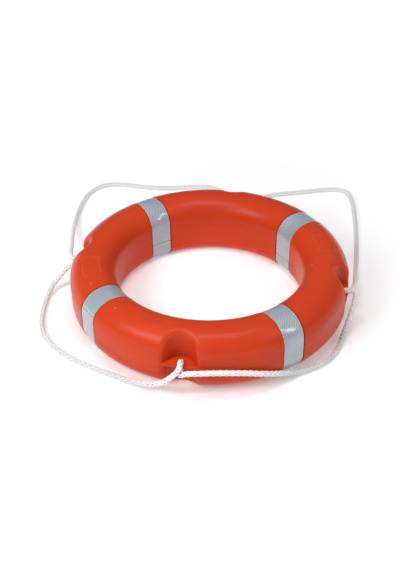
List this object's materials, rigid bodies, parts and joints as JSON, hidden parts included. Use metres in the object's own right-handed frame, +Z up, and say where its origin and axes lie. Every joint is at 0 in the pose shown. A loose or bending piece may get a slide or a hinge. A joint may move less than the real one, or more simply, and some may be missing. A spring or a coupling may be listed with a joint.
{
  "type": "life ring",
  "caption": "Life ring: hollow moulded ring with a foam core, scoops with rope lugs, retroreflective tapes and a grab line laid out around it on the floor.",
  "frame": {"origin": "centre of the ring, on the surface that it lies on", "axes": "+Z up through the ring's opening; the lugs lie on +X, -X, +Y and -Y, and the tapes lie halfway between them"},
  "size_m": [0.7803, 0.9159, 0.14],
  "materials": {
    "orange_shell": "satin moulded polyethylene",
    "foam": "closed cell foam",
    "plug": "satin moulded polyethylene",
    "reflective_tape": "silver retroreflective honeycomb film",
    "white_rope": "braided white rope",
    "thread": "waxed twine"
  },
  "bodies": {
    "root": {"ring_shell": "orange_shell", "foam_core": "foam", "fill_plug_front": "plug", "fill_plug_back": "plug", "reflective_tape_front_right": "reflective_tape", "reflective_tape_back_right": "reflective_tape", "reflective_tape_back_left": "reflective_tape", "reflective_tape_front_left": "reflective_tape", "grab_line_front_left": "white_rope", "grab_line_back_left": "white_rope", "grab_line_back_right": "white_rope", "grab_line_front_right": "white_rope", "grab_line_turn_front": "white_rope", "grab_line_turn_left": "white_rope", "grab_line_turn_back": "white_rope", "grab_line_turn_right": "white_rope", "splice_whipping": "thread"}
  },
  "joints": []
}
